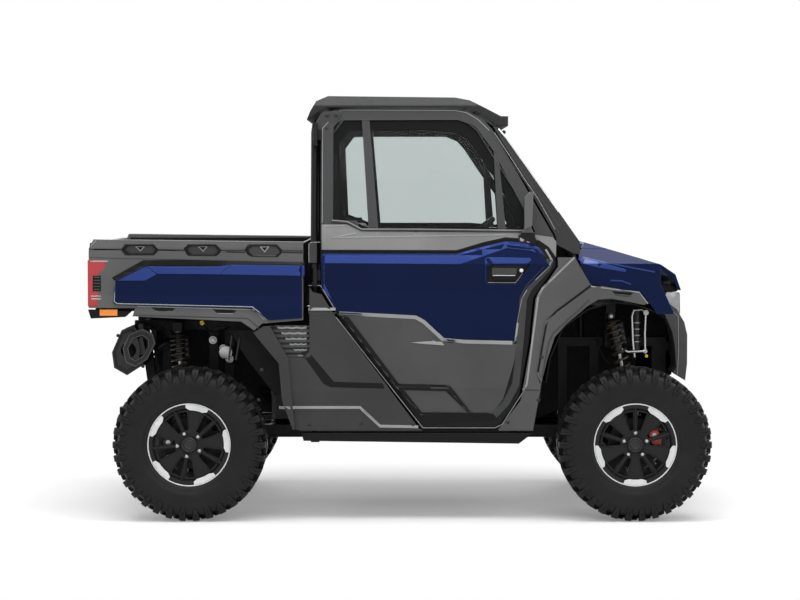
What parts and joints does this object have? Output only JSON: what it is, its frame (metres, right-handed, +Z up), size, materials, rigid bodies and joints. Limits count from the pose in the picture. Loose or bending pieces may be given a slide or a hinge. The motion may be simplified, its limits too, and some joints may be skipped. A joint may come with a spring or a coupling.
{
  "type": "side by side utility vehicle",
  "caption": "Closed-cab side-by-side utility vehicle with a tipping cargo bed, rear-hinged doors and knobbly tyres.",
  "frame": {"origin": "on the ground under the vehicle, midway along its overall length, on the centre plane", "axes": "+X forward, +Y to the vehicle's left, +Z up"},
  "size_m": [2.884, 1.65, 1.968],
  "materials": {
    "blue_paint": "metallic gloss",
    "grey_plastic": "grained matte",
    "black_plastic": "grained matte",
    "frame_paint": "semi-gloss powder coat",
    "tyre": "matte rubber",
    "rim_metal": "machined and dark painted",
    "glass": "tinted",
    "lamp_clear": "clear lens",
    "lamp_red": "gloss lens",
    "seat_cover": "grained vinyl",
    "steel": "satin",
    "cast": "cast",
    "dark_rubber": "matte"
  },
  "bodies": {
    "chassis": {"frame": "frame_paint", "roll_cage": "frame_paint", "roof": "black_plastic", "cab_tub": "black_plastic", "rear_wall": "black_plastic", "cab_glass": "glass", "screen_surround": "black_plastic", "dashboard": "black_plastic", "seat_cushions": "seat_cover", "seat_backs": "seat_cover", "side_panels": "grey_plastic", "front_flares": "grey_plastic", "underguard": "black_plastic", "vents": "grey_plastic", "wings": "blue_paint", "front_fascia": "grey_plastic", "grille": "black_plastic", "headlamps": "lamp_clear", "arch_liners": "black_plastic", "engine": "cast", "muffler": "cast", "driveline": "cast", "suspension_arms": "frame_paint", "shock_absorbers": "steel", "rear_knuckles": "cast", "hitch_receiver": "frame_paint"},
    "knuckle_right": {"knuckle_right": "cast"},
    "knuckle_left": {"knuckle_left": "cast"},
    "steering_rack": {"steering_rack": "steel"},
    "steering_wheel": {"steering_wheel": "dark_rubber"},
    "bonnet": {"bonnet": "blue_paint"},
    "tailgate": {"tailgate": "grey_plastic"},
    "bed": {"bed_tub": "black_plastic", "bed_sides": "grey_plastic", "bed_skins": "blue_paint", "tail_lamps": "lamp_red", "tail_bumper": "black_plastic"},
    "strut_tube": {"strut_tube": "frame_paint"},
    "strut_rod": {"strut_rod": "steel"},
    "door_right": {"door_shell_right": "black_plastic", "door_skin_right": "blue_paint", "door_trim_right": "grey_plastic", "door_glass_right": "glass", "door_fittings_right": "black_plastic"},
    "door_left": {"door_shell_left": "black_plastic", "door_skin_left": "blue_paint", "door_trim_left": "grey_plastic", "door_glass_left": "glass", "door_fittings_left": "black_plastic"},
    "wheel_front_right": {"tyre_front_right": "tyre", "rim_front_right": "rim_metal"},
    "wheel_front_left": {"tyre_front_left": "tyre", "rim_front_left": "rim_metal"},
    "wheel_rear_right": {"tyre_rear_right": "tyre", "rim_rear_right": "rim_metal"},
    "wheel_rear_left": {"tyre_rear_left": "tyre", "rim_rear_left": "rim_metal"}
  },
  "joints": [
    {"name": "steer_left", "type": "hinge", "parent": "chassis", "child": "knuckle_left", "pos_m": [1.0865, 0.6, 0.3555], "axis": [0, 0, 1], "range_deg": [-28, 28]},
    {"name": "steer_right", "type": "hinge", "parent": "chassis", "child": "knuckle_right", "pos_m": [1.0865, -0.6, 0.3555], "axis": [0, 0, 1], "range_deg": [-28, 28]},
    {"name": "rack_slide", "type": "slide", "parent": "chassis", "child": "steering_rack", "axis": [0, 1, 0], "range_m": [-0.041, 0.041]},
    {"name": "steering_wheel_turn", "type": "hinge", "parent": "chassis", "child": "steering_wheel", "pos_m": [0.3419, 0.3775, 1.2763], "axis": [-0.6429, 0, 0.7659], "range_deg": [-280, 280]},
    {"name": "wheel_front_right_spin", "type": "hinge", "parent": "knuckle_right", "child": "wheel_front_right", "pos_m": [1.0865, -0.69, 0.3555], "axis": [0, 1, 0], "continuous": true},
    {"name": "wheel_front_left_spin", "type": "hinge", "parent": "knuckle_left", "child": "wheel_front_left", "pos_m": [1.0865, 0.69, 0.3555], "axis": [0, 1, 0], "continuous": true},
    {"name": "wheel_rear_right_spin", "type": "hinge", "parent": "chassis", "child": "wheel_rear_right", "pos_m": [-0.9735, -0.69, 0.3555], "axis": [0, 1, 0], "continuous": true},
    {"name": "wheel_rear_left_spin", "type": "hinge", "parent": "chassis", "child": "wheel_rear_left", "pos_m": [-0.9735, 0.69, 0.3555], "axis": [0, 1, 0], "continuous": true},
    {"name": "door_right_hinge", "type": "hinge", "parent": "chassis", "child": "door_right", "pos_m": [-0.39204, -0.75203, 1.13748], "axis": [0, -0.1066, -0.9943], "range_deg": [0, 72]},
    {"name": "door_left_hinge", "type": "hinge", "parent": "chassis", "child": "door_left", "pos_m": [-0.39204, 0.75203, 1.13748], "axis": [0, -0.1066, 0.9943], "range_deg": [0, 72]},
    {"name": "bed_tilt", "type": "hinge", "parent": "chassis", "child": "bed", "pos_m": [-1.245, 0, 0.918], "axis": [0, -1, 0], "range_deg": [0, 35]},
    {"name": "tailgate_hinge", "type": "hinge", "parent": "bed", "child": "tailgate", "pos_m": [-1.43, 0, 0.9634], "axis": [0, -1, 0], "range_deg": [0, 90]},
    {"name": "bonnet_hinge", "type": "hinge", "parent": "chassis", "child": "bonnet", "pos_m": [0.842, 0, 1.262], "axis": [0, -1, 0], "range_deg": [0, 45]},
    {"name": "strut_swing", "type": "hinge", "parent": "chassis", "child": "strut_tube", "pos_m": [-0.8987, 0, 0.6493], "axis": [0, -1, 0], "range_deg": [0, 31.71]},
    {"name": "strut_slide", "type": "slide", "parent": "strut_tube", "child": "strut_rod", "axis": [0.7287, 0, 0.6848], "range_m": [0, 0.2621]}
  ],
  "couplings": [
    {"joint": "steer_right", "follows": "steer_left", "ratio": 1},
    {"joint": "rack_slide", "follows": "steer_left", "m_per_rad": -0.0817},
    {"joint": "steering_wheel_turn", "follows": "steer_left", "ratio": 10},
    {"joint": "strut_swing", "follows": "bed_tilt", "ratio": 0.9047},
    {"joint": "strut_slide", "follows": "bed_tilt", "m_per_rad": 0.4286}
  ]
}
